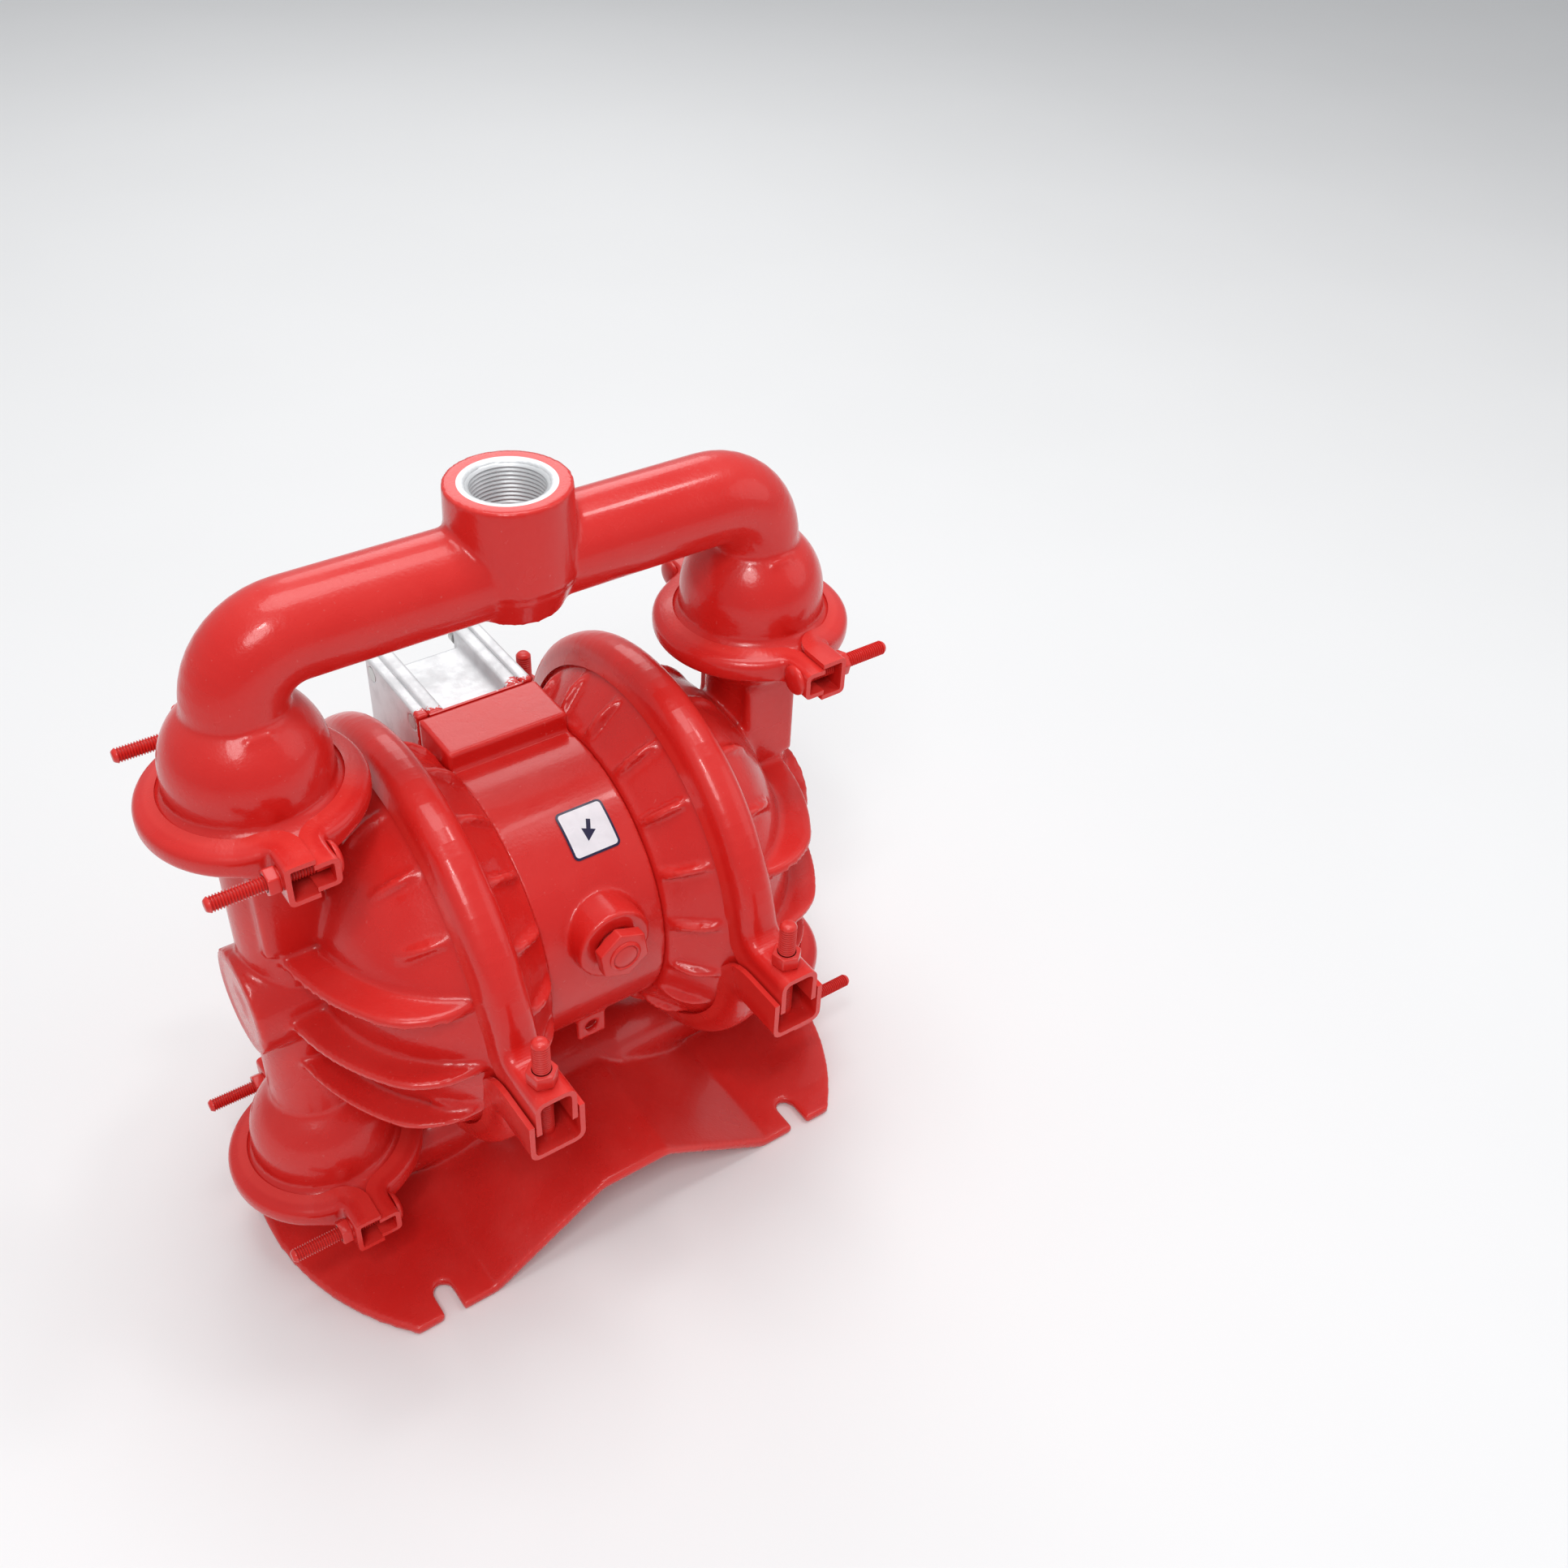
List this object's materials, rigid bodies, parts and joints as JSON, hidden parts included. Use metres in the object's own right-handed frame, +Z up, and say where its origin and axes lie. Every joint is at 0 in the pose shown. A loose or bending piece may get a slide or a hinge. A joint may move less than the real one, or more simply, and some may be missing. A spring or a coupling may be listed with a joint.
{
  "type": "air-operated double-diaphragm pump",
  "caption": "Clamped-band diaphragm pump: two round chambers on one shaft, valve columns, arched foot and a discharge pipe with a threaded port on top.",
  "frame": {"origin": "middle of the foot, on the surface that the pump stands on", "axes": "+X along the diaphragm shaft to the right chamber, -Y towards the air inlet, +Z up"},
  "size_m": [0.3988, 0.314, 0.45],
  "materials": {
    "red_paint": "semi-gloss sprayed enamel over cast aluminium, slight orange peel",
    "painted_fastener": "steel fasteners painted over with the pump",
    "painted_band": "pressed steel band, painted over, bare at a few edges",
    "bare_casting": "unpainted light grey aluminium",
    "zinc_steel": "zinc-plated steel",
    "rubber": "moulded black rubber",
    "muffler_plastic": "porous dark plastic",
    "bearing_bronze": "sintered bronze",
    "piston_aluminium": "machined aluminium",
    "polished_steel": "ground stainless steel"
  },
  "bodies": {
    "root": {"air_inlet_plug": "red_paint", "air_valve_body": "bare_casting", "air_valve_gasket": "rubber", "air_valve_left_end_cap": "bare_casting", "air_valve_right_end_cap": "bare_casting", "air_valve_screws": "zinc_steel", "centre_block": "red_paint", "chamber_screws": "zinc_steel", "discharge_manifold": "red_paint", "end_cap_screws": "zinc_steel", "inlet_manifold": "red_paint", "large_clamp_bolts": "painted_fastener", "large_clamp_nuts": "painted_fastener", "left_air_chamber": "red_paint", "left_diaphragm": "rubber", "left_large_clamp_lower_half": "painted_band", "left_large_clamp_upper_half": "painted_band", "left_liquid_chamber": "red_paint", "left_shaft_bush": "bearing_bronze", "lower_left_clamp_inner_half": "painted_band", "lower_left_clamp_outer_half": "painted_band", "lower_left_seat": "rubber", "lower_right_clamp_inner_half": "painted_band", "lower_right_clamp_outer_half": "painted_band", "lower_right_seat": "rubber", "muffler": "muffler_plastic", "pilot_sleeve": "bearing_bronze", "right_air_chamber": "red_paint", "right_diaphragm": "rubber", "right_large_clamp_lower_half": "painted_band", "right_large_clamp_upper_half": "painted_band", "right_liquid_chamber": "red_paint", "right_shaft_bush": "bearing_bronze", "seat_seals": "rubber", "shaft_seals": "rubber", "small_clamp_bolts": "painted_fastener", "small_clamp_nuts": "painted_fastener", "upper_left_clamp_inner_half": "painted_band", "upper_left_clamp_outer_half": "painted_band", "upper_left_seat": "rubber", "upper_right_clamp_inner_half": "painted_band", "upper_right_clamp_outer_half": "painted_band", "upper_right_seat": "rubber"},
    "shaft_assembly": {"diaphragm_shaft": "polished_steel", "right_inner_piston": "piston_aluminium", "left_inner_piston": "piston_aluminium", "right_outer_piston": "piston_aluminium", "left_outer_piston": "piston_aluminium"},
    "pilot_spool": {"pilot_spool": "polished_steel"},
    "air_valve_spool": {"air_valve_spool": "polished_steel"},
    "upper_right_ball": {"upper_right_ball": "rubber"},
    "upper_left_ball": {"upper_left_ball": "rubber"},
    "lower_right_ball": {"lower_right_ball": "rubber"},
    "lower_left_ball": {"lower_left_ball": "rubber"}
  },
  "joints": [
    {"name": "shaft_slide", "type": "slide", "parent": "root", "child": "shaft_assembly", "axis": [1, 0, 0], "range_m": [-0.01, 0.01], "deforming": ["right_diaphragm", "left_diaphragm"]},
    {"name": "pilot_spool_slide", "type": "slide", "parent": "root", "child": "pilot_spool", "axis": [1, 0, 0], "range_m": [-0.004, 0.004]},
    {"name": "air_valve_spool_slide", "type": "slide", "parent": "root", "child": "air_valve_spool", "axis": [1, 0, 0], "range_m": [-0.008, 0.008]},
    {"name": "upper_right_ball_lift", "type": "slide", "parent": "root", "child": "upper_right_ball", "axis": [0, 0, 1], "range_m": [0, 0.006]},
    {"name": "upper_left_ball_lift", "type": "slide", "parent": "root", "child": "upper_left_ball", "axis": [0, 0, 1], "range_m": [0, 0.006]},
    {"name": "lower_right_ball_lift", "type": "slide", "parent": "root", "child": "lower_right_ball", "axis": [0, 0, 1], "range_m": [0, 0.006]},
    {"name": "lower_left_ball_lift", "type": "slide", "parent": "root", "child": "lower_left_ball", "axis": [0, 0, 1], "range_m": [0, 0.006]}
  ]
}
